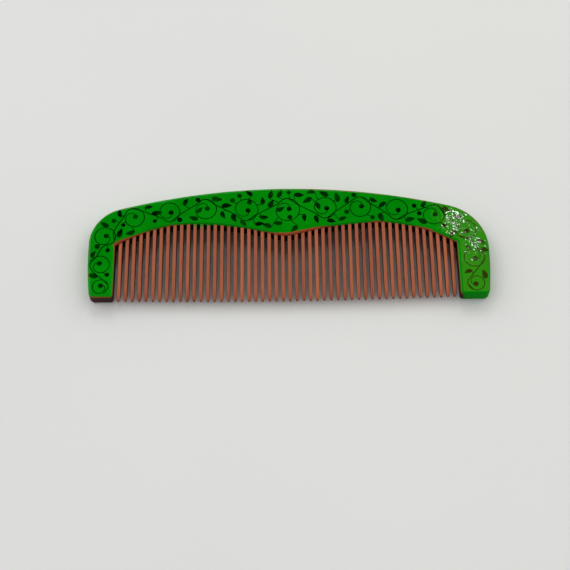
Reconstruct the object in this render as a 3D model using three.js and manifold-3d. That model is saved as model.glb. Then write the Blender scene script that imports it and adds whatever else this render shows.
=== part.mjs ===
// A flat dressing comb of lacquered wood: an arched spine, two end guards and fifty teeth.
//
// Every tooth is a slat of its own. Its thin tenon is glued into a mortise in the spine's
// scalloped lower edge, and the two broad guards are set into the spine in the same way.
//
// Frame: millimetres. The comb lies on its back face at z = 0, under a front face alike.
// +X runs along the comb, +Y from the tooth tips to the spine, +Z through the thickness.
// The origin is below the middle of the comb's bounding box.
import * as THREE from "three";
import { mergeVertices } from "three/addons/utils/BufferGeometryUtils.js";
import Module from "manifold-3d";

// ---- driving dimensions -------------------------------------------------------------------

const combLength = 160; // where the ends stand out the most
const combHeight = 49.4; // from the tips of the longest teeth to the top of the spine
const boardThickness = 6; // of the spine and the guards
const edgeRound = 1; // radius that softens every edge of the spine and the guards

const crownRadius = 262; // the long arch of the spine's top edge
const crownOffset = -0.8; // from the middle of the comb to the top of that arch
const leftShoulderRadius = 16; // where the arch turns down into the ends
const rightShoulderRadius = 20;
const endRadius = 150; // the slight bulge of each end
const widestAboveFoot = 20; // height over the guards' feet where the ends stand out the most

const leftGuardWidth = 10.7;
const rightGuardWidth = 12.8;
const guardOuterCorner = 2; // corner radii of a guard's foot
const guardInnerCorner = 1.4;

const spineAtDip = 21.6; // spine height over the low point in the middle of its lower edge
const archRise = 5.6; // from that low point up to the two arches
const archDrop = 9.4; // from the arches down to the guards
const archPeakX = 37.5; // from the middle of the tooth row to the top of each arch
const dipRound = 3; // how softly the two arches meet

const toothCount = 50;
const toothWidth = 1.45;
const toothRootThickness = 4.8;
const toothThinThickness = 2.6; // where the point begins
const toothTipThickness = 0.8;
const pointLength = 2.6; // the tapered end of a tooth
const tipBlunt = 0.45; // width left at the very tip
const tipReach = 1.3; // how far the longest teeth pass the guards' feet
const tipArcRadius = 2300; // the shallow bow that all the tips lie on
const longestToothX = -12;

const tenonThickness = 2.6;
const tenonDepth = 5;
const guardTenonInset = 3; // from the guard's flanks to its tenon's
const mortiseClearance = 0.2; // all round a tenon
const glueGap = 0.2; // between a shoulder and the spine

const arcFacets = 16; // along each arc of the outline
const samePoint = 0.001; // points closer than this are one point

// ---- places worked out from them ----------------------------------------------------------

const endX = combLength / 2;
const middleZ = boardThickness / 2;
const crownTop = combHeight / 2;
const tipLevel = -combHeight / 2;
const guardFoot = tipLevel + tipReach;
const innerLeft = -endX + leftGuardWidth;
const innerRight = endX - rightGuardWidth;
const rowMiddle = (innerLeft + innerRight) / 2;
const rowHalf = (innerRight - innerLeft) / 2;
const toothGap = (2 * rowHalf - toothCount * toothWidth) / (toothCount + 1);
const toothPitch = toothWidth + toothGap;
const archLevel = crownTop - spineAtDip + archRise;
const seamLevel = archLevel - archDrop; // the spine's lower edge over the guards

const toothX = (i) => innerLeft + toothGap + toothWidth / 2 + i * toothPitch;
const tipHeight = (x) => tipLevel + (x - longestToothX) ** 2 / (2 * tipArcRadius);

// Height of the spine's lower edge over the tooth row: two arches that meet in a soft dip.
function rootHeight(x) {
  const fromMiddle = Math.abs(x - rowMiddle);
  if (fromMiddle > archPeakX) {
    return archLevel - archDrop * ((fromMiddle - archPeakX) / (rowHalf - archPeakX)) ** 2;
  }
  const softened = Math.hypot(fromMiddle, dipRound);
  return archLevel - archRise * ((archPeakX - softened) / (archPeakX - dipRound)) ** 2;
}

// ---- solids -------------------------------------------------------------------------------

const wasm = await Module();
wasm.setup();

function solidFrom(geometry) {
  const bare = geometry.clone();
  bare.deleteAttribute("normal");
  bare.deleteAttribute("uv");
  const merged = mergeVertices(bare, samePoint / 10);
  return new wasm.Manifold(
    new wasm.Mesh({
      numProp: 3,
      vertProperties: new Float32Array(merged.attributes.position.array),
      triVerts: new Uint32Array(merged.index.array),
    }),
  );
}

function geometryFrom(solid) {
  const { vertProperties, triVerts } = solid.getMesh();
  const geometry = new THREE.BufferGeometry();
  geometry.setAttribute("position", new THREE.BufferAttribute(vertProperties, 3));
  geometry.setIndex(new THREE.BufferAttribute(triVerts, 1));
  geometry.computeVertexNormals();
  return geometry;
}

function block(x0, x1, y0, y1, z0, z1) {
  const geometry = new THREE.BoxGeometry(x1 - x0, y1 - y0, z1 - z0);
  return solidFrom(geometry.translate((x0 + x1) / 2, (y0 + y1) / 2, (z0 + z1) / 2));
}

// A block that passes right through the board.
const slab = (x0, x1, y0, y1) => block(x0, x1, y0, y1, -boardThickness, 2 * boardThickness);

// ---- tenons and mortises ------------------------------------------------------------------

// A tenon from y0 up to y1 or, given a clearance, the mortise that takes it.
function tenon(x0, x1, y0, y1, clearance) {
  const half = tenonThickness / 2 + clearance;
  return block(x0 - clearance, x1 + clearance, y0, y1 + clearance, middleZ - half, middleZ + half);
}

// Each starts well inside its own piece, where the two are joined.
function toothTenon(x, clearance) {
  const root = rootHeight(x);
  const [left, right] = [x - toothWidth / 2, x + toothWidth / 2];
  return tenon(left, right, root - tenonDepth, root + tenonDepth, clearance);
}

function guardTenon([flankLeft, flankRight], clearance) {
  const [left, right] = [flankLeft + guardTenonInset, flankRight - guardTenonInset];
  return tenon(left, right, seamLevel - tenonDepth, seamLevel + tenonDepth, clearance);
}

// ---- the frame: spine and guards, cut from one outline ------------------------------------

const crown = { x: crownOffset, y: crownTop - crownRadius, radius: crownRadius };

const leftEnd = { x: -endX + endRadius, y: guardFoot + widestAboveFoot, radius: endRadius };
const rightEnd = { x: endX - endRadius, y: guardFoot + widestAboveFoot, radius: endRadius };

// The shoulder circle that touches the crown and an end from inside; side is -1 or +1.
function shoulder(end, radius, side) {
  const [fromCrown, fromEnd] = [crown.radius - radius, end.radius - radius];
  const [dx, dy] = [end.x - crown.x, end.y - crown.y];
  const apart = Math.hypot(dx, dy);
  const along = (fromCrown ** 2 - fromEnd ** 2 + apart ** 2) / (2 * apart);
  const across = side * Math.sqrt(fromCrown ** 2 - along ** 2);
  const x = crown.x + (along * dx + across * dy) / apart;
  const y = crown.y + (along * dy - across * dx) / apart;
  return { x, y, radius };
}

const bearing = (from, to) => Math.atan2(to.y - from.y, to.x - from.x);

function arc(outline, circle, start, stop) {
  outline.absarc(circle.x, circle.y, circle.radius, start, stop, false);
}

// The circle that rounds a guard's foot into the end's bulge, touching both from inside.
function outerCorner(end, side) {
  const y = guardFoot + guardOuterCorner;
  const reach = Math.sqrt((end.radius - guardOuterCorner) ** 2 - (y - end.y) ** 2);
  return { x: end.x + side * reach, y, radius: guardOuterCorner };
}

function frameOutline() {
  const leftShoulder = shoulder(leftEnd, leftShoulderRadius, -1);
  const rightShoulder = shoulder(rightEnd, rightShoulderRadius, 1);
  const leftOuter = outerCorner(leftEnd, -1);
  const rightOuter = outerCorner(rightEnd, 1);
  const innerY = guardFoot + guardInnerCorner;
  const leftInner = { x: innerLeft - guardInnerCorner, y: innerY, radius: guardInnerCorner };
  const rightInner = { x: innerRight + guardInnerCorner, y: innerY, radius: guardInnerCorner };
  const down = -Math.PI / 2;

  const outline = new THREE.Shape();
  outline.moveTo(innerRight, seamLevel);
  outline.lineTo(innerRight, innerY);
  arc(outline, rightInner, -Math.PI, down);
  arc(outline, rightOuter, down, bearing(rightEnd, rightOuter));
  arc(outline, rightEnd, bearing(rightEnd, rightOuter), bearing(rightEnd, rightShoulder));
  arc(outline, rightShoulder, bearing(rightEnd, rightShoulder), bearing(crown, rightShoulder));
  arc(outline, crown, bearing(crown, rightShoulder), bearing(crown, leftShoulder));
  arc(outline, leftShoulder, bearing(crown, leftShoulder), bearing(leftEnd, leftShoulder));
  arc(outline, leftEnd, bearing(leftEnd, leftShoulder), bearing(leftEnd, leftOuter));
  arc(outline, leftOuter, bearing(leftEnd, leftOuter), down);
  arc(outline, leftInner, down, 0);
  outline.lineTo(innerLeft, seamLevel);
  for (let i = 0; i < toothCount - 1; i++) {
    const x = toothX(i) + toothPitch / 2;
    outline.lineTo(x, rootHeight(x));
  }
  return outline;
}

// The outline's points, without the doubles where one arc ends and the next begins.
function distinctPoints(outline) {
  const points = outline.getPoints(arcFacets / 2); // a three.js arc gets two for each one asked
  return points.filter((p, i) => p.distanceTo(points[(i + 1) % points.length]) > samePoint);
}

function frameSolid() {
  const geometry = new THREE.ExtrudeGeometry(new THREE.Shape(distinctPoints(frameOutline())), {
    depth: boardThickness - 2 * edgeRound,
    bevelSize: edgeRound,
    bevelThickness: edgeRound,
    bevelOffset: -edgeRound,
    bevelSegments: 3,
  });
  return solidFrom(geometry.translate(0, 0, edgeRound));
}

const leftFlanks = [-endX, innerLeft];
const rightFlanks = [innerRight, endX];

function spineSolid(frame) {
  let spine = frame.intersect(slab(-combLength, combLength, seamLevel, combHeight));
  for (let i = 0; i < toothCount; i++) {
    spine = spine.subtract(toothTenon(toothX(i), mortiseClearance));
  }
  spine = spine.subtract(guardTenon(leftFlanks, mortiseClearance));
  return spine.subtract(guardTenon(rightFlanks, mortiseClearance));
}

function guardSolid(frame, flanks) {
  const below = slab(flanks[0], flanks[1], -combHeight, seamLevel - glueGap);
  return frame.intersect(below).add(guardTenon(flanks, 0));
}

// ---- a tooth ------------------------------------------------------------------------------

// Seen from the front: straight flanks that round in to a blunt tip.
function toothFront(x) {
  const tip = tipHeight(x);
  const [left, right] = [x - toothWidth / 2, x + toothWidth / 2];
  const outline = new THREE.Shape();
  outline.moveTo(x - tipBlunt / 2, tip);
  outline.lineTo(x + tipBlunt / 2, tip);
  outline.quadraticCurveTo(right, tip + pointLength / 4, right, tip + pointLength);
  outline.lineTo(right, rootHeight(right) - glueGap);
  outline.lineTo(left, rootHeight(left) - glueGap);
  outline.lineTo(left, tip + pointLength);
  outline.quadraticCurveTo(left, tip + pointLength / 4, x - tipBlunt / 2, tip);
  const depth = 2 * boardThickness;
  const geometry = new THREE.ExtrudeGeometry(outline, {
    depth,
    bevelEnabled: false,
    curveSegments: 4,
  });
  return solidFrom(geometry.translate(0, 0, middleZ - depth / 2));
}

// Seen from the comb's end: thickest at the spine, thinning down to a pointed tip.
function toothSide(x) {
  const tip = tipHeight(x);
  const outline = new THREE.Shape();
  outline.moveTo(tip, -toothTipThickness / 2);
  outline.lineTo(tip + pointLength, -toothThinThickness / 2);
  outline.lineTo(archLevel, -toothRootThickness / 2);
  outline.lineTo(archLevel, toothRootThickness / 2);
  outline.lineTo(tip + pointLength, toothThinThickness / 2);
  outline.lineTo(tip, toothTipThickness / 2);
  const depth = 2 * toothWidth;
  const geometry = new THREE.ExtrudeGeometry(outline, { depth, bevelEnabled: false });
  // The outline's x is the comb's y, its y is the comb's z, and it was extruded along x.
  const turned = new THREE.Matrix4().set(0, 0, 1, 0, 1, 0, 0, 0, 0, 1, 0, 0, 0, 0, 0, 1);
  return solidFrom(geometry.applyMatrix4(turned).translate(x - depth / 2, 0, middleZ));
}

const toothSolid = (x) => toothFront(x).intersect(toothSide(x)).add(toothTenon(x, 0));

// ---- the comb -----------------------------------------------------------------------------

const lacqueredWood = { color: 0x0a780a, roughness: 0.2, metalness: 0 };
const bareWood = { color: 0x98533a, roughness: 0.55, metalness: 0 };

function piece(name, solid, finish) {
  const mesh = new THREE.Mesh(geometryFrom(solid), new THREE.MeshStandardMaterial(finish));
  mesh.name = name;
  return mesh;
}

const comb = new THREE.Group();
const frame = frameSolid();
comb.add(piece("spine", spineSolid(frame), lacqueredWood));
comb.add(piece("left_guard", guardSolid(frame, leftFlanks), lacqueredWood));
comb.add(piece("right_guard", guardSolid(frame, rightFlanks), lacqueredWood));
for (let i = 0; i < toothCount; i++) {
  const name = `tooth_${String(i + 1).padStart(2, "0")}`;
  comb.add(piece(name, toothSolid(toothX(i)), bareWood));
}

export default comb;
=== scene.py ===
"""The looks of a lacquered wooden dressing comb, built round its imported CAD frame.

Sizes are in millimetres, and every mesh is scaled to metres as it is made. The comb lies on its
back at z = 0: +X runs along it, +Y from the tooth tips to the spine, +Z through its thickness.
Each wooden piece gets a rounded, grained mesh of its own. A thin film of green lacquer lies over
the spine and the guards, and the scrolls painted on it are thin closed solids too.
"""

import math
import random

import bmesh
import bpy
import numpy as np
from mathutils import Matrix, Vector
from mathutils.geometry import delaunay_2d_cdt


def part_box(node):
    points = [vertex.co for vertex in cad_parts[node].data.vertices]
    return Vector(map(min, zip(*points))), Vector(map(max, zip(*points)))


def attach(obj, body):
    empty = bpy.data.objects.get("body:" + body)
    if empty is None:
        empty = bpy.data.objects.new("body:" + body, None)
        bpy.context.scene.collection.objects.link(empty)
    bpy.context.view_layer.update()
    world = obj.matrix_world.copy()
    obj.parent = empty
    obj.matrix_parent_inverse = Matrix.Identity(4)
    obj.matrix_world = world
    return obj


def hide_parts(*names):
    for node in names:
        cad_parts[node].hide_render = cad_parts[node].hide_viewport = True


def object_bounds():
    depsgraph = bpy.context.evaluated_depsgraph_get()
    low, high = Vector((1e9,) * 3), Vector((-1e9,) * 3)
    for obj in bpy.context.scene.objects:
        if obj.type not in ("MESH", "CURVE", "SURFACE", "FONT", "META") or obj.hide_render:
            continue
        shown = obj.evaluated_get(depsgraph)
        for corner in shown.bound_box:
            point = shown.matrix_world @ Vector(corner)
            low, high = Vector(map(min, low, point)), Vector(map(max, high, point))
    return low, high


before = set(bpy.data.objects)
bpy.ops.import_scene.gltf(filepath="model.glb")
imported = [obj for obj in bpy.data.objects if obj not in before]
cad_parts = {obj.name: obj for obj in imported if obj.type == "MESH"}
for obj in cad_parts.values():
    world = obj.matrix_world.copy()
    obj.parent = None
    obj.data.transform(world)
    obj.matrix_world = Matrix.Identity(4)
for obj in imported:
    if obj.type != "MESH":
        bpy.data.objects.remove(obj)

CAD_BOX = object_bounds()
MM = 0.001

# ---- sizes read from the frame -------------------------------------------------------------

END_X = CAD_BOX[1].x / MM
CROWN_TOP = CAD_BOX[1].y / MM
BOARD = CAD_BOX[1].z / MM
MIDDLE_Z = BOARD / 2
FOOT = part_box("left_guard")[0].y / MM
INNER_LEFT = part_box("left_guard")[1].x / MM
INNER_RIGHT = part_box("right_guard")[0].x / MM
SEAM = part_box("spine")[0].y / MM
TEETH = sorted(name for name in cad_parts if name.startswith("tooth_"))

# ---- shape of the frame's outline, as in the CAD part ---------------------------------------

EDGE = 1.0  # radius of every rounded edge
CROWN_RADIUS = 262.0
CROWN_X = -0.8
SHOULDER_LEFT = 16.0
SHOULDER_RIGHT = 20.0
END_RADIUS = 150.0
WIDEST_ABOVE_FOOT = 20.0
OUTER_CORNER = 2.0
INNER_CORNER = 1.4
SPINE_AT_DIP = 21.6
ARCH_RISE = 5.6
ARCH_DROP = 9.4
ARCH_PEAK = 37.5
DIP_ROUND = 3.0

ROW_MIDDLE = (INNER_LEFT + INNER_RIGHT) / 2
ROW_HALF = (INNER_RIGHT - INNER_LEFT) / 2
ARCH_LEVEL = CROWN_TOP - SPINE_AT_DIP + ARCH_RISE

# ---- layers: how far each surface lies under the CAD surface ---------------------------------

INK_DEPTH = 0.0
FILM_DEPTH = 0.03
FILM_THICKNESS = 0.1
INK_THICKNESS = 0.06
WOOD_DEPTH = 0.1

QUARTER = EDGE * math.pi / 2  # length of a rounded edge, measured round it
MID_WALL = QUARTER + MIDDLE_Z - EDGE  # from the rim of the flat face to half the thickness

OUTLINE_STEP = 0.45
SAME_POINT = 1e-8  # metres


# ---- outline --------------------------------------------------------------------------------


def root_height(x):
    """The spine's lower edge over the teeth: two arches that meet in a soft dip."""
    out = abs(x - ROW_MIDDLE)
    if out > ARCH_PEAK:
        return ARCH_LEVEL - ARCH_DROP * ((out - ARCH_PEAK) / (ROW_HALF - ARCH_PEAK)) ** 2
    softened = math.hypot(out, DIP_ROUND)
    return ARCH_LEVEL - ARCH_RISE * ((ARCH_PEAK - softened) / (ARCH_PEAK - DIP_ROUND)) ** 2


def shoulder(crown, end, radius, side):
    """The circle that touches the crown and an end from inside; side is -1 or +1."""
    from_crown, from_end = crown[2] - radius, end[2] - radius
    dx, dy = end[0] - crown[0], end[1] - crown[1]
    apart = math.hypot(dx, dy)
    along = (from_crown**2 - from_end**2 + apart**2) / (2 * apart)
    across = side * math.sqrt(from_crown**2 - along**2)
    x = crown[0] + (along * dx + across * dy) / apart
    y = crown[1] + (along * dy - across * dx) / apart
    return (x, y, radius)


def outer_corner(end, side):
    y = FOOT + OUTER_CORNER
    reach = math.sqrt((end[2] - OUTER_CORNER) ** 2 - (y - end[1]) ** 2)
    return (end[0] + side * reach, y, OUTER_CORNER)


def bearing(a, b):
    return math.atan2(b[1] - a[1], b[0] - a[0])


def arc(circle, start, stop):
    """Points on a circle (x, y, radius), anticlockwise, without the last one."""
    if stop < start:
        stop += 2 * math.pi
    x, y, radius = circle
    count = max(10, math.ceil(radius * (stop - start) / OUTLINE_STEP))
    angles = [start + (stop - start) * i / count for i in range(count)]
    return [(x + radius * math.cos(a), y + radius * math.sin(a)) for a in angles]


def straight(a, b):
    """Points from a towards b, without b."""
    count = math.ceil(math.dist(a, b) / OUTLINE_STEP)
    return [tuple(np.array(a) + (np.array(b) - np.array(a)) * i / count) for i in range(count)]


def outline_stretches():
    """The frame's outline, anticlockwise, as named stretches."""
    crown = (CROWN_X, CROWN_TOP - CROWN_RADIUS, CROWN_RADIUS)
    left_end = (-END_X + END_RADIUS, FOOT + WIDEST_ABOVE_FOOT, END_RADIUS)
    right_end = (END_X - END_RADIUS, FOOT + WIDEST_ABOVE_FOOT, END_RADIUS)
    left_shoulder = shoulder(crown, left_end, SHOULDER_LEFT, -1)
    right_shoulder = shoulder(crown, right_end, SHOULDER_RIGHT, 1)
    left_outer, right_outer = outer_corner(left_end, -1), outer_corner(right_end, 1)
    inner_y = FOOT + INNER_CORNER
    left_inner = (INNER_LEFT - INNER_CORNER, inner_y, INNER_CORNER)
    right_inner = (INNER_RIGHT + INNER_CORNER, inner_y, INNER_CORNER)
    down = -math.pi / 2
    right_foot = [(right_inner[0], FOOT), (right_outer[0], FOOT)]
    left_foot = [(left_outer[0], FOOT), (left_inner[0], FOOT)]
    right_turns = [bearing(right_end, right_outer), bearing(right_end, right_shoulder)]
    left_turns = [bearing(left_end, left_shoulder), bearing(left_end, left_outer)]
    crown_turns = [bearing(crown, right_shoulder), bearing(crown, left_shoulder)]
    wave_count = math.ceil(2 * ROW_HALF / OUTLINE_STEP)
    wave_x = [INNER_LEFT + 2 * ROW_HALF * i / wave_count for i in range(wave_count)]
    return [
        ("right_inner", straight((INNER_RIGHT, SEAM), (INNER_RIGHT, inner_y))),
        ("right_inner", arc(right_inner, -math.pi, down)),
        ("right_foot", straight(*right_foot)),
        ("right_foot", arc(right_outer, down, right_turns[0])),
        ("right_end", arc(right_end, *right_turns)),
        ("right_shoulder", arc(right_shoulder, right_turns[1], crown_turns[0])),
        ("crown", arc(crown, *crown_turns)),
        ("left_shoulder", arc(left_shoulder, crown_turns[1], left_turns[0])),
        ("left_end", arc(left_end, left_turns[0], left_turns[1] % (2 * math.pi))),
        ("left_foot", arc(left_outer, left_turns[1] % (2 * math.pi), 1.5 * math.pi)),
        ("left_foot", straight(*left_foot)),
        ("left_inner", arc(left_inner, down, 0)),
        ("left_inner", straight((INNER_LEFT, inner_y), (INNER_LEFT, SEAM))),
        ("wave", [(x, root_height(x)) for x in wave_x]),
    ]


def mitres(points):
    """For each corner the outward vector that moves both its sides out by one."""
    ahead = np.roll(points, -1, axis=0) - points
    ahead /= np.linalg.norm(ahead, axis=1)[:, None]
    normal = np.stack([ahead[:, 1], -ahead[:, 0]], axis=1)
    before = np.roll(normal, 1, axis=0)
    return (normal + before) / (1 + np.sum(normal * before, axis=1))[:, None]


STRETCHES = outline_stretches()
OUTLINE = np.array([p for _, points in STRETCHES for p in points])
STRETCH = np.array([name for name, points in STRETCHES for _ in points])
MITRE = mitres(OUTLINE)


# ---- surfaces over the outline ---------------------------------------------------------------


def skin(e, depth, front=True):
    """Points round the outline at distance e past the flat face's rim, measured over the surface.

    A negative e lies on the flat face. The rows follow the rounded edge and then the wall.
    """
    e = np.broadcast_to(np.asarray(e, float), len(OUTLINE))
    turn = np.clip(e / EDGE, 0, math.pi / 2)
    radius = EDGE - depth
    inset = EDGE - radius * np.sin(turn) - np.minimum(e, 0)
    z = BOARD - EDGE + radius * np.cos(turn) - np.maximum(e - QUARTER, 0)
    plan = OUTLINE - MITRE * inset[:, None]
    return np.column_stack([plan, z if front else BOARD - z])


def distance_to_outline(points):
    """How far each plan point lies from the outline."""
    ends = np.roll(OUTLINE, -1, axis=0)
    along = ends - OUTLINE
    lengths = np.sum(along * along, axis=1)
    found = np.empty(len(points))
    for i, p in enumerate(points):
        t = np.clip(np.sum((p - OUTLINE) * along, axis=1) / lengths, 0, 1)
        off = OUTLINE + along * t[:, None] - p
        found[i] = math.sqrt(np.min(np.sum(off * off, axis=1)))
    return found


def face_height(points):
    """Height of the front surface over plan points, with its rounded edge."""
    inside = np.minimum(distance_to_outline(points), EDGE)
    return BOARD - EDGE + np.sqrt(np.maximum(EDGE**2 - (EDGE - inside) ** 2, 0))


# ---- mesh helpers ----------------------------------------------------------------------------


def make_object(name, points, faces, smooth=True):
    """A mesh object from points in millimetres."""
    mesh = bpy.data.meshes.new(name)
    mesh.from_pydata([tuple(float(v) * MM for v in p) for p in points], [], faces)
    mesh.update()
    if smooth:
        mesh.shade_smooth()
    made = bpy.data.objects.new(name, mesh)
    bpy.context.scene.collection.objects.link(made)
    return made


def ring_faces(count, first, second):
    """Quads between two closed rows of vertices that start at the given indices."""
    return [
        (first + i, second + i, second + (i + 1) % count, first + (i + 1) % count)
        for i in range(count)
    ]


def edit(obj, change):
    """Runs change(bm) on an object's mesh."""
    bm = bmesh.new()
    bm.from_mesh(obj.data)
    change(bm)
    bm.to_mesh(obj.data)
    bm.free()
    obj.data.update()


def weld(bm):
    bmesh.ops.remove_doubles(bm, verts=bm.verts, dist=SAME_POINT)
    bmesh.ops.recalc_face_normals(bm, faces=bm.faces)


def thicken(bm, thickness):
    """Turns a sheet into a thin closed solid, inwards, with crisp edges."""
    bm.normal_update()
    top = bm.verts[:]
    below = {v: bm.verts.new(v.co - v.normal * thickness * MM, v) for v in top}
    rim = [e for e in bm.edges if e.is_boundary]
    walls = [(e.link_loops[0].vert, e.link_loops[0].link_loop_next.vert) for e in rim]
    for face in bm.faces[:]:
        bm.faces.new([below[v] for v in reversed(face.verts)]).smooth = face.smooth
    for a, b in walls:
        bm.faces.new([b, a, below[a], below[b]]).smooth = False
        bm.edges.get([a, b]).smooth = False
        bm.edges.get([below[a], below[b]]).smooth = False


def set_attribute(obj, name, values):
    layer = obj.data.attributes.new(name, "FLOAT", "POINT")
    layer.data.foreach_set("value", np.asarray(values, dtype=np.float32))


# ---- wooden core: spine and guards -------------------------------------------------------------

ROUND_STEPS = 8  # rows round each edge
ROUND_ROWS = [QUARTER * (i + 1) / ROUND_STEPS for i in range(ROUND_STEPS)]
CORE_ROWS = [-0.25, 0.0] + ROUND_ROWS
SEAM_SHIFT = 0.02  # keeps the cut off the outline's own points
SHARP_WOOD = math.radians(40)


def core_mesh():
    """The whole frame as one closed solid, just under the lacquer."""
    front = [skin(e, WOOD_DEPTH) for e in CORE_ROWS]
    back = [skin(e, WOOD_DEPTH, front=False) for e in reversed(CORE_ROWS)]
    rows = front + back
    count = len(OUTLINE)
    faces = [tuple(range(count))]
    for i in range(len(rows) - 1):
        faces += ring_faces(count, i * count, (i + 1) * count)
    last = (len(rows) - 1) * count
    faces.append(tuple(reversed(range(last, last + count))))
    return np.concatenate(rows), faces


def cut_core(bm, keep_above, side):
    """Keeps the spine (above the seams), or the guard on one side."""
    bmesh.ops.triangulate(bm, faces=[f for f in bm.faces if len(f.verts) > 4])
    bmesh.ops.bisect_plane(
        bm,
        geom=bm.verts[:] + bm.edges[:] + bm.faces[:],
        plane_co=(0, (SEAM + SEAM_SHIFT) * MM, 0),
        plane_no=(0, 1, 0),
        clear_outer=not keep_above,
        clear_inner=keep_above,
    )
    loose = [v for v in bm.verts if side and v.co.x * side < 0]
    bmesh.ops.delete(bm, geom=loose, context="VERTS")
    edges = [e for e in bm.edges if e.is_boundary]
    bmesh.ops.edgeloop_fill(bm, edges=edges)
    weld(bm)


def build_core(wood):
    points, faces = core_mesh()
    plan = [("spine", True, 0), ("left_guard", False, -1), ("right_guard", False, 1)]
    for node, above, side in plan:
        piece = make_object(f"{node}_wood", points, faces)
        edit(piece, lambda bm, above=above, side=side: cut_core(bm, above, side))
        piece.data.shade_smooth()
        piece.data.set_sharp_from_angle(angle=SHARP_WOOD)
        piece.data.materials.append(wood)
        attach(piece, "root")
        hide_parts(node)


# ---- lacquer film --------------------------------------------------------------------------------

# Where the lacquer stops along the scalloped edge: x, and the distance past the flat face's rim.
WAVE_PAINT = [
    (-69.3, -0.3), (-66, -0.1), (-63, 0.4), (-60, 0.75), (-51, 1.0), (-46, 0.8), (-42, 1.25),
    (-38, 1.5), (-21, 1.5), (-17, 1.2), (-12, 1.3), (-9, 1.0), (-6, 0.6), (-3, 0.0), (0, -0.2),
    (6, -0.1), (12, 0.1), (15, 0.5), (18, 0.95), (22, 1.4), (27, 1.4), (31, 1.1), (36, 0.5),
    (39, 0.85), (43, 1.4), (48, 1.5), (51, 0.95), (56, 0.3), (60, 0.9), (67.2, 0.8),
]
INNER_WALL_PAINT = 0.9
LEFT_FOOT_PAINT = 0.8
PAINT_WOBBLE = 0.07
DULL_BY = 0.45  # past this distance from the flat face's rim the lacquer has lost its gloss
PAINT_BLEND = 5  # outline points that a change of the lacquer's edge is spread over

FILM_ROWS = [-0.4, 0.0] + ROUND_ROWS + [QUARTER + 0.7, MID_WALL]
FILM_RIM_WAVE = -0.8  # where the flat middle of the film begins, past the flat face's rim
FILM_RIM = -0.25

WEAR_ALL_ROUND = 0.45  # how rubbed the outer edge is everywhere
WEAR_SPOTS = [(0.55, 22, 42), (0.3, 72, 8)]  # and more so: how much, at what x, over what reach
WEAR_AT = 0.75  # past the flat face's rim
WEAR_REACH = 0.4


def wobble(x, y):
    """A smooth, fixed unevenness between -1 and 1, as a brush leaves."""
    return (math.sin(0.9 * x + 0.4 * y) + math.sin(0.37 * x - 0.8 * y + 2) + math.sin(2.3 * x)) / 3


def paint_reach():
    """How far the lacquer goes past the flat face's rim, at each point of the outline."""
    table_x, table_e = zip(*WAVE_PAINT)
    reach = np.full(len(OUTLINE), MID_WALL)
    wave = STRETCH == "wave"
    reach[wave] = np.interp(OUTLINE[wave, 0], table_x, table_e)
    reach[(STRETCH == "left_inner") | (STRETCH == "right_inner")] = INNER_WALL_PAINT
    reach[STRETCH == "left_foot"] = LEFT_FOOT_PAINT
    shifted = [np.roll(reach, i) for i in range(-PAINT_BLEND // 2, PAINT_BLEND // 2 + 1)]
    smooth = np.mean(shifted, axis=0)
    uneven = np.array([wobble(x, y) for x, y in OUTLINE]) * PAINT_WOBBLE
    return np.where(smooth > QUARTER, np.minimum(smooth, MID_WALL), smooth + uneven)


REACH = paint_reach()
RIM = np.where(STRETCH == "wave", FILM_RIM_WAVE, FILM_RIM)


def film_sheet(front):
    """One side's film: its rows of points, and how far past the rim each point lies."""
    rows = [RIM] + [np.clip(np.full(len(OUTLINE), e), RIM, REACH) for e in FILM_ROWS]
    rows[-1] = REACH
    return [skin(row, FILM_DEPTH, front) for row in rows], rows


def edge_wear(distances):
    """How rubbed the lacquer is: a band round the outer edge, strongest on the crown's right."""
    outer = np.isin(STRETCH, ["crown", "left_shoulder", "right_shoulder", "right_end", "left_end"])
    along = WEAR_ALL_ROUND
    for more, x, reach in WEAR_SPOTS:
        along = along + more * np.exp(-(((OUTLINE[:, 0] - x) / reach) ** 2))
    across = np.exp(-(((distances - WEAR_AT) / WEAR_REACH) ** 2))
    return np.where(outer, along, 0.0) * across


def build_film(lacquer):
    count = len(OUTLINE)
    points, faces, wear, dull = [], [], [], []
    for front in (True, False):
        rows, distances = film_sheet(front)
        start = sum(len(p) for p in points)
        for i in range(len(rows) - 1):
            faces += ring_faces(count, start + i * count, start + (i + 1) * count)
        faces.append(tuple(range(start, start + count)))
        points += rows
        wear += [edge_wear(d) for d in distances]
        dull += [np.clip(d / DULL_BY, 0, 1) for d in distances]
    film = make_object("lacquer_coat", np.concatenate(points), faces)
    set_attribute(film, "wear", np.concatenate(wear))
    set_attribute(film, "dull", np.concatenate(dull))

    def finish(bm):
        bmesh.ops.dissolve_degenerate(bm, edges=bm.edges, dist=SAME_POINT)
        weld(bm)
        bmesh.ops.triangulate(bm, faces=[f for f in bm.faces if len(f.verts) > 4])
        bmesh.ops.recalc_face_normals(bm, faces=bm.faces)
        thicken(bm, FILM_THICKNESS)

    edit(film, finish)
    film.data.materials.append(lacquer)
    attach(film, "root")


# ---- painted scrolls -----------------------------------------------------------------------------

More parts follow.
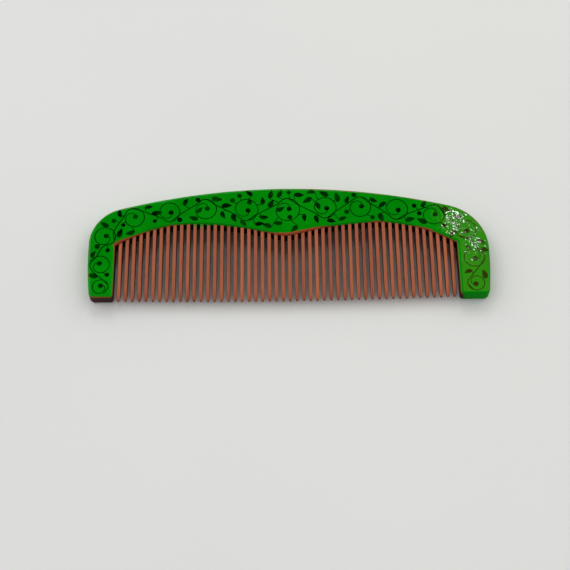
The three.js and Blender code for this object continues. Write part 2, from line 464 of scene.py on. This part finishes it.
# A running scroll: the centre and radius of each turn, from the left foot round to the right.
SCROLLS = [
    (-74.4, -19.0, 3.2), (-75.0, -9.4, 4.0), (-73.6, 3.0, 4.3), (-62.3, 11.6, 4.3),
    (-48.2, 14.0, 4.4), (-33.6, 15.2, 4.6), (-17.2, 14.8, 5.0), (-0.6, 14.6, 5.2),
    (14.6, 15.4, 4.8), (28.8, 15.6, 4.6), (43.6, 14.4, 4.7), (58.4, 11.8, 4.5),
    (71.2, 5.0, 4.3), (73.6, -7.4, 4.2), (73.6, -18.6, 3.4),
]
VINE_WIDTH = 0.4
VINE_STEP = 0.35
SCROLL_TURNS = 1.2
STEM_HUG = 1.15  # angle on either side of where the stem touches a turn that it follows it
EYE_RADIUS = 1.05
LEAF_LENGTH = (3.4, 4.6)
LEAF_SHAPE = 0.5  # width over length
BERRY_RADIUS = (0.8, 1.1)
BERRY_SHARE = 0.3
MOTIF_FROM_EDGE = 1.9
MOTIF_FROM_VINE = 1.15
MOTIF_APART = 3.5
MOTIF_TRIES = 5000
DISC_POINTS = 18
LEAF_POINTS = 13
CURL_POINTS = 60
CURL_IN = 0.8  # how much of its radius a turn has lost at its eye
CURL_LATE = 3.2  # and how late it loses it
STALK_WIDTH = 0.3
STALK_STEP = 0.4
INK_REACH = 0.55  # how far past the flat face's rim the ink may go
INK_INSIDE = 0.12  # and how far it stays from the lacquer's own edge
INK_DULL_DROP = 0.06  # the ink has lost its gloss where the surface has dropped this far
INK_INSETS = [0.75, 0.5, 0.28, 0.14]  # plan distances from the outline where the ink bends


def smooth_path(points, step):
    """A Catmull-Rom curve through points, sampled about every step."""
    points = [np.array(p, float) for p in points]
    points = [2 * points[0] - points[1]] + points + [2 * points[-1] - points[-2]]
    path = []
    for a, b, c, d in zip(points, points[1:], points[2:], points[3:]):
        count = max(2, math.ceil(np.linalg.norm(c - b) / step))
        for t in np.arange(count) / count:
            path.append(
                0.5 * (2 * b + (c - a) * t + (2 * a - 5 * b + 4 * c - d) * t**2
                       + (3 * b - a - 3 * c + d) * t**3)
            )
    return np.array(path + [points[-2]])


def ribbon(path, width_start, width_end):
    """The closed outline of a tapering stroke along a path."""
    ahead = np.gradient(path, axis=0)
    ahead /= np.linalg.norm(ahead, axis=1)[:, None]
    half = np.linspace(width_start, width_end, len(path))[:, None] / 2
    across = np.column_stack([-ahead[:, 1], ahead[:, 0]]) * half
    return np.concatenate([path - across, (path + across)[::-1]])


def disc(centre, radius):
    turns = np.arange(DISC_POINTS) / DISC_POINTS * 2 * math.pi
    return np.array(centre) + radius * np.column_stack([np.cos(turns), np.sin(turns)])


def leaf(base, tip, width, bend):
    """A pointed leaf from base to tip, fuller near its base and bent to one side."""
    base, tip = np.array(base), np.array(tip)
    along = tip - base
    across = np.array([-along[1], along[0]]) / np.linalg.norm(along)
    t = np.linspace(0, 1, LEAF_POINTS)[:, None]
    spine = base + along * t + across * bend * np.sin(math.pi * t)
    swell = width / 2 * np.sin(math.pi * t**0.75) ** 0.9
    return np.concatenate([spine - across * swell, (spine + across * swell)[1:-1][::-1]])


def scroll_vines():
    """The main stem, which passes the turns on alternate sides, and the curl inside each."""
    centres = np.array([s[:2] for s in SCROLLS])
    ahead = np.gradient(centres, axis=0)
    ahead /= np.linalg.norm(ahead, axis=1)[:, None]
    side = np.column_stack([-ahead[:, 1], ahead[:, 0]])
    stem, curls = [], []
    for i, (x, y, radius) in enumerate(SCROLLS):
        which = 1 if i % 2 else -1
        start = math.atan2(*(side[i] * which)[::-1])
        for turn in (STEM_HUG, 0, -STEM_HUG):
            angle = start + which * turn
            stem.append(centres[i] + radius * np.array([math.cos(angle), math.sin(angle)]))
        turn = np.linspace(0, SCROLL_TURNS * 2 * math.pi, CURL_POINTS)
        shrink = radius * (1 - CURL_IN * (turn / turn[-1]) ** CURL_LATE)
        angle = start - which * turn
        curls.append(centres[i] + shrink[:, None] * np.column_stack([np.cos(angle), np.sin(angle)]))
    return smooth_path(stem, VINE_STEP), curls


def motif_places(rng, vines):
    """Free places on the face, each with the nearest point of a vine and the vine's direction."""
    low, high = OUTLINE.min(axis=0), OUTLINE.max(axis=0)
    tries = np.array([[rng.uniform(low[i], high[i]) for i in (0, 1)] for _ in range(MOTIF_TRIES)])
    tries = tries[inside_outline(tries)]
    tries = tries[distance_to_outline(tries) > MOTIF_FROM_EDGE]
    trails = np.concatenate([v[:-1] for v in vines])
    headings = np.concatenate([np.diff(v, axis=0) for v in vines])
    taken = [v[-1] for v in vines[1:]]
    places = []
    for p in tries:
        off = np.linalg.norm(trails - p, axis=1)
        near = int(np.argmin(off))
        if off[near] < MOTIF_FROM_VINE:
            continue
        if any(math.dist(p, q) < MOTIF_APART for q in taken):
            continue
        taken.append(p)
        places.append((p, trails[near], headings[near] / np.linalg.norm(headings[near])))
    return places


def inside_outline(points):
    """Whether each plan point lies inside the outline."""
    ends = np.roll(OUTLINE, -1, axis=0)
    found = []
    for x, y in points:
        crosses = (OUTLINE[:, 1] > y) != (ends[:, 1] > y)
        rise = np.where(crosses, ends[:, 1] - OUTLINE[:, 1], 1)
        at = OUTLINE[:, 0] + (y - OUTLINE[:, 1]) / rise * (ends[:, 0] - OUTLINE[:, 0])
        found.append(np.count_nonzero(crosses & (at > x)) % 2 == 1)
    return np.array(found)


def motif(rng, place, vine_point, heading):
    """A leaf or a berry at a free place, with the stalk that joins it to the vine."""
    away = (place - vine_point) / np.linalg.norm(place - vine_point)
    lean = away * 0.55 + heading * 0.85
    lean /= np.linalg.norm(lean)
    if rng.random() < BERRY_SHARE:
        bend = vine_point + heading * 0.5 + away * 0.5
        stalk = smooth_path([vine_point, bend, place], STALK_STEP)
        return [disc(place, rng.uniform(*BERRY_RADIUS)), ribbon(stalk, STALK_WIDTH, 0.26)]
    length = rng.uniform(*LEAF_LENGTH)
    base, tip = place - lean * length * 0.45, place + lean * length * 0.55
    shape = leaf(base, tip, length * LEAF_SHAPE, rng.uniform(-0.35, 0.35))
    bend = (vine_point + base) / 2 + heading * 0.15
    stalk = smooth_path([vine_point, bend, base + lean * 0.2], STALK_STEP)
    return [shape, ribbon(stalk, STALK_WIDTH, 0.24)]


def scroll_shapes(seed):
    """Every painted shape as a closed plan outline."""
    rng = random.Random(seed)
    stem, curls = scroll_vines()
    shapes = [ribbon(stem, VINE_WIDTH, VINE_WIDTH)]
    for curl in curls:
        shapes.append(ribbon(curl, VINE_WIDTH, VINE_WIDTH * 0.7))
        shapes.append(disc(curl[-1], EYE_RADIUS))
    for place in motif_places(rng, [stem] + curls):
        shapes += motif(rng, *place)
    return shapes


def ink_region():
    """The part of the face that the scrolls are painted on, a little inside the film's edge."""
    reach = np.clip(REACH - INK_INSIDE, -0.6, INK_REACH)
    return skin(reach, 0)[:, :2]


def union_of(region, shapes):
    """Triangles that cover the shapes inside the region, cut where the surface bends."""
    points, edges, faces = [], [], []
    for loop in [region] + shapes:
        start = len(points)
        points += [Vector(p) for p in loop]
        faces.append(list(range(start, len(points))))
    for inset in INK_INSETS:
        start = len(points)
        loop = (OUTLINE - MITRE * inset)[::2]
        points += [Vector(p) for p in loop]
        edges += [(start + i, start + (i + 1) % len(loop)) for i in range(len(loop))]
    verts, _, tris, _, _, sources = delaunay_2d_cdt(points, edges, faces, 1, 1e-5, True)
    kept = [t for t, s in zip(tris, sources) if 0 in s and len(s) > 1]
    used = sorted({i for t in kept for i in t})
    index = {v: i for i, v in enumerate(used)}
    plan = np.array([verts[i][:] for i in used])
    return plan, [tuple(index[i] for i in t) for t in kept]


def build_scrolls(name, seed, front, ink):
    plan, faces = union_of(ink_region(), scroll_shapes(seed))
    z = face_height(plan) - INK_DEPTH
    if not front:
        z = BOARD - z
        faces = [tuple(reversed(f)) for f in faces]
    scrolls = make_object(name, np.column_stack([plan, z]), faces)
    drop = BOARD - face_height(plan)
    set_attribute(scrolls, "dull", np.clip(drop / INK_DULL_DROP, 0, 1))
    edit(scrolls, lambda bm: thicken(bm, INK_THICKNESS))
    scrolls.data.materials.append(ink)
    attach(scrolls, "root")


# ---- teeth -----------------------------------------------------------------------------------------

TOOTH_ROOT_THICKNESS = 4.8
TOOTH_THIN_THICKNESS = 2.6
TOOTH_TIP_THICKNESS = 0.8
TOOTH_POINT = 2.6
TIP_BLUNT = 0.45
TENON_DEPTH = 5.0
ROOT_OVERLAP = 0.3  # how far a tooth's shoulder reaches into the spine
SECTION_CORNER = 0.42
CORNER_POINTS = 4
TIP_LEAN = 0.07
TIP_SHORT = 0.14
PAINTED_TEETH = (-39.5, -30.5)  # x between which lacquer ran down the teeth
PAINT_RUN = 1.7
ROOT_SLANT = 3  # a tooth's last stretch, over which its rows turn to follow the spine's edge
TOOTH_SWELL = 0.05  # share of their width that teeth differ by
PAINT_FADE = 0.7  # over which a run of lacquer ends
SHARP_TOOTH = math.radians(50)
FLANK_SHARE = 0.99  # of a tooth's half width, past which its side gets painted shade, as the gaps between teeth lie in shade
TIP_SHADE_SHARE = 0.7  # how dark the painted shade at its very tip is, in shares of that on its sides
TIP_SHADE_FADE = 1.1  # how slowly that fades with the height over the tip


def section(half_width, half_thickness):
    """A rounded rectangle round the origin, anticlockwise seen from the tip."""
    corner = min(SECTION_CORNER, 0.85 * half_width, 0.85 * half_thickness)
    points = []
    for quarter in range(4):
        side = 1 if quarter in (0, 3) else -1
        top = 1 if quarter in (0, 1) else -1
        centre = (side * (half_width - corner), top * (half_thickness - corner))
        for i in range(CORNER_POINTS):
            angle = math.pi / 2 * (quarter + i / (CORNER_POINTS - 1))
            points.append((centre[0] + corner * math.cos(angle), centre[1] + corner * math.sin(angle)))
    return points


def tooth_profile(above_tip, length, half_width):
    """Half width and half thickness of a tooth at a height over its tip."""
    if above_tip >= TOOTH_POINT:
        share = (above_tip - TOOTH_POINT) / (length - TOOTH_POINT)
        thickness = TOOTH_THIN_THICKNESS + (TOOTH_ROOT_THICKNESS - TOOTH_THIN_THICKNESS) * share
        return half_width, thickness / 2
    share = above_tip / TOOTH_POINT
    rounded = math.sqrt(max(0.0, 1 - (1 - share) ** 2.4))
    width = TIP_BLUNT / 2 + (half_width - TIP_BLUNT / 2) * rounded
    thickness = TOOTH_TIP_THICKNESS + (TOOTH_THIN_THICKNESS - TOOTH_TIP_THICKNESS) * share**0.8
    return width, thickness / 2


def tooth_levels(length):
    """Heights over the tip where a tooth has a row of points: close at its tip and its root."""
    point = [TOOTH_POINT * (i / 9) ** 1.6 for i in range(10)]
    middle = [TOOTH_POINT + (length - ROOT_SLANT - TOOTH_POINT) * i / 8 for i in range(1, 9)]
    root = [length - ROOT_SLANT + ROOT_SLANT * i / 10 for i in range(1, 11)]
    return point + middle + root + [length + ROOT_OVERLAP]


def build_tooth(name, wood, rng):
    low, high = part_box(name)
    x = (low.x + high.x) / 2 / MM
    half_width = (high.x - low.x) / 2 / MM
    tip = low.y / MM + rng.uniform(0, TIP_SHORT)
    length = high.y / MM - TENON_DEPTH - tip
    slope = root_height(x + 0.5) - root_height(x - 0.5)
    lean = rng.uniform(-TIP_LEAN, TIP_LEAN)
    swell = 1 - rng.uniform(0, TOOTH_SWELL)
    points, faces, paint, side_and_tip_shade = [], [], [], []
    levels = tooth_levels(length)
    painted = PAINTED_TEETH[0] < x < PAINTED_TEETH[1]
    for level in levels:
        wide, thick = tooth_profile(level, ARCH_LEVEL - tip, half_width * swell)
        off = lean * (1 - level / length) ** 2
        slant = slope * max(0.0, 1 - (length - level) / ROOT_SLANT)
        run = PAINT_RUN * (0.75 + 0.25 * math.sin(3 * x))
        for u, v in section(wide, thick):
            points.append((x + off + u, tip + level + slant * u, MIDDLE_Z + v))
            on_face = min(1.0, max(0.0, v / thick * 2 - 0.7))
            # painted shade: the sides, which face the narrow dark gaps, and the very tip are marked to be
            # darkened
            on_flank = float(abs(u) > FLANK_SHARE * wide)
            side_and_tip_shade.append(max(on_flank, TIP_SHADE_SHARE - level / TIP_SHADE_FADE))
            down = min(1.0, max(0.0, (level - length + run) / PAINT_FADE))
            paint.append(on_face * down * painted)
    ring = 4 * CORNER_POINTS
    for i in range(len(levels) - 1):
        faces += ring_faces(ring, i * ring, (i + 1) * ring)
    faces.append(tuple(range(ring)))
    faces.append(tuple(reversed(range(len(points) - ring, len(points)))))
    tooth = make_object(f"{name}_slat", points, faces)
    set_attribute(tooth, "paint", paint)
    set_attribute(tooth, "side_and_tip_shade", side_and_tip_shade)
    edit(tooth, lambda bm: bmesh.ops.recalc_face_normals(bm, faces=bm.faces))
    tooth.data.set_sharp_from_angle(angle=SHARP_TOOTH)
    tooth.data.materials.append(wood)
    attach(tooth, "root")
    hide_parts(name)


# ---- materials ---------------------------------------------------------------------------------------


def srgb(red, green, blue):
    """A linear colour from display values between 0 and 255."""
    shares = [v / 255 for v in (red, green, blue)]
    linear = [s / 12.92 if s <= 0.04045 else ((s + 0.055) / 1.055) ** 2.4 for s in shares]
    return (*linear, 1.0)


class Nodes:
    """The node tree of a material or a world, with short calls for what this scene needs."""

    def __init__(self, owner, shader="Principled BSDF"):
        owner.use_nodes = True
        self.material = owner
        self.tree = owner.node_tree
        self.shader = self.tree.nodes[shader]

    def add(self, kind, **settings):
        node = self.tree.nodes.new(kind)
        for key, value in settings.items():
            setattr(node, key, value)
        return node

    def link(self, out, into):
        self.tree.links.new(out, into)

    def place(self, stretch=(1, 1, 1)):
        """Object coordinates, stretched."""
        coordinates = self.add("ShaderNodeTexCoord")
        mapping = self.add("ShaderNodeMapping")
        mapping.inputs["Scale"].default_value = stretch
        self.link(coordinates.outputs["Object"], mapping.inputs["Vector"])
        return mapping.outputs["Vector"]

    def noise(self, scale, detail=3.0, stretch=(1, 1, 1), distortion=0.0):
        node = self.add("ShaderNodeTexNoise")
        node.inputs["Scale"].default_value = scale
        node.inputs["Detail"].default_value = detail
        node.inputs["Distortion"].default_value = distortion
        self.link(self.place(stretch), node.inputs["Vector"])
        return node.outputs["Fac"]

    def spread(self, value, low, high, to_low=0.0, to_high=1.0):
        """Maps a range onto another and clamps it."""
        node = self.add("ShaderNodeMapRange")
        numbers = (low, high, to_low, to_high)
        for key, number in zip(("From Min", "From Max", "To Min", "To Max"), numbers):
            node.inputs[key].default_value = number
        self.link(value, node.inputs["Value"])
        return node.outputs["Result"]

    def mix(self, share, a, b):
        """Mixes two colours; each is a colour or a socket."""
        node = self.add("ShaderNodeMix", data_type="RGBA")
        self.link(share, node.inputs["Factor"])
        for key, value in (("A", a), ("B", b)):
            socket = next(s for s in node.inputs if s.name == key and s.type == "RGBA")
            if isinstance(value, tuple):
                socket.default_value = value
            else:
                self.link(value, socket)
        return next(s for s in node.outputs if s.type == "RGBA")

    def math(self, operation, a, b):
        node = self.add("ShaderNodeMath", operation=operation)
        for socket, value in zip(node.inputs, (a, b)):
            if isinstance(value, (int, float)):
                socket.default_value = value
            else:
                self.link(value, socket)
        return node.outputs[0]

    def attribute(self, name):
        return self.add("ShaderNodeAttribute", attribute_name=name).outputs["Fac"]

    def bump(self, height, distance, strength=1.0, after=None):
        node = self.add("ShaderNodeBump")
        node.inputs["Distance"].default_value = distance
        node.inputs["Strength"].default_value = strength
        self.link(height, node.inputs["Height"])
        if after is not None:
            self.link(after, node.inputs["Normal"])
        return node.outputs["Normal"]

    def set(self, **values):
        for key, value in values.items():
            socket = self.shader.inputs[key.replace("_", " ")]
            if isinstance(value, (int, float, tuple)):
                socket.default_value = value
            else:
                self.link(value, socket)


COAT_ROUGHNESS = 0.035
COAT_IOR = 1.38  # low, because the photo shows little sheen on the rounded edges
COAT_LEFT = 0.12  # share of the clear coat left where the lacquer has lost its gloss
RIPPLE_HEIGHT = 0.00003  # metres
PEEL_HEIGHT = 0.00001
GREENS = [srgb(0, 128, 6), srgb(4, 140, 10)]
GREEN_SPECK = srgb(10, 100, 8)
RUBBED_BROWNS = [srgb(150, 66, 34), srgb(110, 44, 24)]
INK_TONES = [srgb(0, 20, 1), srgb(0, 66, 4)]
TOOTH_WOOD = [srgb(116, 50, 28), srgb(158, 80, 46), srgb(178, 98, 60)]  # dark, middle, light
TOOTH_TINTS = [srgb(142, 70, 38), srgb(176, 94, 56)]
TOOTH_PAINT = srgb(24, 126, 14)
# painted shade for the teeth's sides and tips, which lie in shade
TOOTH_PAINTED_SHADE = srgb(84, 18, 8)
FRAME_WOOD = [srgb(112, 42, 22), srgb(150, 66, 36), srgb(172, 84, 48)]
# painted shade for the frame's walls and end faces, which lie in shade
WALL_PAINTED_SHADES = [srgb(30, 6, 4), srgb(62, 18, 11)]
WALL_SHADE_FROM = 1.9  # the frame's walls get painted shade up to this far from mid thickness
WALL_SHADE_TO = 2.5
GRAIN_HEIGHT = 0.00005
ALONG_Y = 1  # the axis that the grain runs along


def orange_peel(nodes):
    """The slight waviness of a lacquered surface."""
    peel = nodes.noise(950, detail=0.0)
    ripple = nodes.noise(160, detail=0.0)
    low = nodes.bump(ripple, RIPPLE_HEIGHT)
    return nodes.bump(peel, PEEL_HEIGHT, after=low)


def gloss(nodes):
    """The clear, glassy top coat that the lacquer and its scrolls share."""
    weight = nodes.spread(nodes.attribute("dull"), 0, 1, 1.0, COAT_LEFT)
    nodes.set(Coat_Weight=weight, Coat_Roughness=COAT_ROUGHNESS, Coat_IOR=COAT_IOR)
    nodes.set(Specular_IOR_Level=0.0)
    nodes.link(orange_peel(nodes), nodes.shader.inputs["Coat Normal"])


def lacquer_material():
    nodes = Nodes(bpy.data.materials.new("green_lacquer"))
    cloud = nodes.spread(nodes.noise(60, detail=4.0), 0.35, 0.65)
    green = nodes.mix(cloud, *GREENS)
    speck = nodes.spread(nodes.noise(1500, detail=2.0), 0.68, 0.76, 0, 0.35)
    green = nodes.mix(speck, green, GREEN_SPECK)
    ragged = nodes.noise(260, detail=5.0, stretch=(0.35, 1, 1))
    ragged = nodes.spread(ragged, 0.3, 0.7, -0.32, 0.32)
    rubbed = nodes.spread(nodes.math("ADD", nodes.attribute("wear"), ragged), 0.5, 0.7)
    brown = nodes.mix(nodes.noise(900), *RUBBED_BROWNS)
    nodes.set(Base_Color=nodes.mix(rubbed, green, brown), Roughness=0.45)
    gloss(nodes)
    return nodes.material


def ink_material():
    nodes = Nodes(bpy.data.materials.new("scroll_ink"))
    cloud = nodes.spread(nodes.noise(170, detail=3.0), 0.42, 0.66)
    nodes.set(Base_Color=nodes.mix(cloud, *INK_TONES), Roughness=0.4)
    gloss(nodes)
    return nodes.material


def grain(nodes, along, dark, mid, light):
    """Wood colour with fine pores and slow streaks along one axis, and its height."""
    squash = [1.0, 1.0, 1.0]
    squash[along] = 0.06
    streaks = nodes.noise(900, detail=5.0, stretch=tuple(squash), distortion=0.4)
    slow_squash = [1.0, 1.0, 1.0]
    slow_squash[along] = 0.25
    slow = nodes.noise(110, detail=2.0, stretch=tuple(slow_squash))
    colour = nodes.mix(nodes.spread(streaks, 0.3, 0.7), mid, light)
    colour = nodes.mix(nodes.spread(slow, 0.4, 0.75, 0, 0.7), colour, dark)
    pores = nodes.noise(2600, detail=2.0, stretch=tuple(squash))
    return nodes.mix(nodes.spread(pores, 0.62, 0.72, 0, 0.6), colour, dark), streaks


def tooth_material():
    nodes = Nodes(bpy.data.materials.new("tooth_wood"))
    colour, streaks = grain(nodes, ALONG_Y, *TOOTH_WOOD)
    tint = nodes.spread(nodes.noise(140, detail=0.0, stretch=(1, 0.02, 0.02)), 0.3, 0.7)
    colour = nodes.mix(tint, colour, nodes.mix(tint, *TOOTH_TINTS))
    patchy = nodes.spread(nodes.noise(500), 0.2, 0.5)
    blotch = nodes.math("MULTIPLY", nodes.attribute("paint"), patchy)
    colour = nodes.mix(blotch, colour, TOOTH_PAINT)
    # painted shade: the teeth's sides and tips are darkened as if in the shade of the gaps
    tooth_shade = nodes.spread(nodes.attribute("side_and_tip_shade"), 0, 1, 0, 0.9)
    colour = nodes.mix(tooth_shade, colour, TOOTH_PAINTED_SHADE)
    nodes.set(Base_Color=colour, Roughness=nodes.spread(streaks, 0.3, 0.7, 0.42, 0.6))
    nodes.set(Specular_IOR_Level=0.35)
    nodes.link(nodes.bump(streaks, GRAIN_HEIGHT), nodes.shader.inputs["Normal"])
    return nodes.material


def core_material():
    nodes = Nodes(bpy.data.materials.new("frame_wood"))
    colour, streaks = grain(nodes, ALONG_Y, *FRAME_WOOD)
    height = nodes.add("ShaderNodeSeparateXYZ")
    nodes.link(nodes.place(), height.inputs[0])
    level = nodes.math("SUBTRACT", height.outputs["Z"], MIDDLE_Z * MM)
    off_middle = nodes.math("ABSOLUTE", level, 0)
    # painted shade: the walls around mid thickness take the dark wall colours
    wall = nodes.spread(off_middle, WALL_SHADE_FROM * MM, WALL_SHADE_TO * MM)
    shaded_wall = nodes.mix(streaks, *WALL_PAINTED_SHADES)
    colour = nodes.mix(wall, shaded_wall, colour)
    nodes.set(Base_Color=colour, Roughness=0.5, Specular_IOR_Level=0.12)
    nodes.link(nodes.bump(streaks, GRAIN_HEIGHT), nodes.shader.inputs["Normal"])
    return nodes.material


# ---- stage ---------------------------------------------------------------------------------------------

FLOOR_HALF = 3.0  # metres
AIM = Vector((-0.00168, -0.01617, 0.0))
CAMERA_DISTANCE = 0.4897
CAMERA_TILT = math.radians(24.85)  # from straight down
CAMERA_TURN = math.radians(-0.677)
CAMERA_LENS = 77.64
SENSOR = 36.0


def floor_material():
    nodes = Nodes(bpy.data.materials.new("pale_table"))
    cloud = nodes.noise(6, detail=3.0)
    fine = nodes.noise(900, detail=2.0)
    colour = nodes.mix(nodes.spread(cloud, 0.3, 0.7), (0.79, 0.79, 0.80, 1), (0.81, 0.81, 0.815, 1))
    nodes.set(Base_Color=colour, Roughness=0.6, Specular_IOR_Level=0.1)
    nodes.link(nodes.bump(fine, 0.00002), nodes.shader.inputs["Normal"])
    return nodes.material


def build_floor():
    h = FLOOR_HALF / MM
    floor = make_object("floor", [(-h, -h, 0), (h, -h, 0), (h, h, 0), (-h, h, 0)], [(0, 1, 2, 3)])
    floor.data.materials.append(floor_material())


def area_light(name, place, target, size, radiance, colour):
    """A square or oblong soft light that faces a target; its radiance sets its power."""
    data = bpy.data.lights.new(name, "AREA")
    data.shape = "RECTANGLE"
    data.size, data.size_y = size
    data.energy = radiance * size[0] * size[1] * math.pi
    data.color = colour
    light = bpy.data.objects.new(name, data)
    light.location = place
    light.rotation_euler = (Vector(target) - Vector(place)).to_track_quat("-Z", "Y").to_euler()
    bpy.context.scene.collection.objects.link(light)


WHITE = (1, 1, 1)
CENTRE = (0, 0, 0)
WINDOW = (0.008, 0.007)  # as small as a far window, so that the lacquer mirrors it as glints
WINDOW_RADIANCE = 75.0
LIGHTS = [  # name, place, what it faces, size, radiance, colour
    ("back_key", (-0.12, 1.85, 1.45), CENTRE, (0.9, 0.9), 4.0, WHITE),
    ("left_key", (-1.9, 0.7, 1.5), CENTRE, (2.0, 1.6), 0.3, WHITE),
    ("warm_wall", (0.52, 0.62, 1.2), (0.52, 0.62, 0), (0.56, 0.6), 1.0, (1.0, 0.95, 0.12)),
    ("window", (0.257, 0.633, 1.19), (0.06, 0, 0), WINDOW, WINDOW_RADIANCE, WHITE),
    ("window", (0.287, 0.594, 1.19), (0.06, 0, 0), WINDOW, WINDOW_RADIANCE, WHITE),
]


FRONT_SKY = 0.55  # radiance of the room in front of the comb
BACK_SKY = 1.8  # and behind it
SKY_FADE = (-0.6, 0.5)  # directions' y between which one turns into the other
MIDDLE_SHARE = 0.2  # share of that light in a band from the front over the comb to the back
SIDE_FADE = (0.12, 0.5)  # directions' x, either way, between which the band ends
DARK_CORNER = 0.02  # share of that light left in the part that the comb's flat face mirrors
DARK_X = (-0.6, -0.4, 0.5, 0.8)  # its sides fade in and out over these slopes x/z
DARK_Y = (0.15, 0.3, 0.9, 1.2)  # and its lower and upper rims over these slopes y/z


def build_world():
    """A pale room, brightest behind the comb, with one dark corner that its flat face mirrors."""
    world = bpy.data.worlds.new("pale_room")
    bpy.context.scene.world = world
    nodes = Nodes(world, "Background")
    parts = nodes.add("ShaderNodeSeparateXYZ")
    nodes.link(nodes.add("ShaderNodeTexCoord").outputs["Generated"], parts.inputs[0])
    up = nodes.math("MAXIMUM", parts.outputs["Z"], 0.05)
    corner = 1.0
    for axis, rims in (("X", DARK_X), ("Y", DARK_Y)):
        slope = nodes.math("DIVIDE", parts.outputs[axis], up)
        rise = nodes.spread(slope, rims[0], rims[1])
        fall = nodes.spread(slope, rims[2], rims[3], 1, 0)
        corner = nodes.math("MULTIPLY", nodes.math("MULTIPLY", rise, fall), corner)
    nodes.shader.inputs["Color"].default_value = (1, 1, 1, 1)
    sky = nodes.spread(parts.outputs["Y"], *SKY_FADE, FRONT_SKY, BACK_SKY)
    sideways = nodes.math("ABSOLUTE", parts.outputs["X"], 0)
    sky = nodes.math("MULTIPLY", sky, nodes.spread(sideways, *SIDE_FADE, MIDDLE_SHARE, 1))
    lit = nodes.math("MULTIPLY", sky, nodes.spread(corner, 0, 1, 1, DARK_CORNER))
    nodes.link(lit, nodes.shader.inputs["Strength"])


def build_camera():
    data = bpy.data.cameras.new("camera")
    data.lens = CAMERA_LENS
    data.sensor_width = SENSOR
    camera = bpy.data.objects.new("camera", data)
    camera.rotation_euler = (CAMERA_TILT, 0, CAMERA_TURN)
    back = camera.rotation_euler.to_matrix() @ Vector((0, 0, 1))
    camera.location = AIM + back * CAMERA_DISTANCE
    bpy.context.scene.collection.objects.link(camera)
    bpy.context.scene.camera = camera
    bpy.context.scene.view_settings.view_transform = "Standard"


# ---- the scene -----------------------------------------------------------------------------------------

build_camera()
build_floor()
for light_row in LIGHTS:
    area_light(*light_row)
build_world()
build_core(core_material())
build_film(lacquer_material())
scroll_ink = ink_material()
build_scrolls("painted_scrolls", 7, True, scroll_ink)
build_scrolls("painted_scrolls_back", 11, False, scroll_ink)
tooth_wood = tooth_material()
tooth_chance = random.Random(3)
for tooth_name in TEETH:
    build_tooth(tooth_name, tooth_wood, tooth_chance)
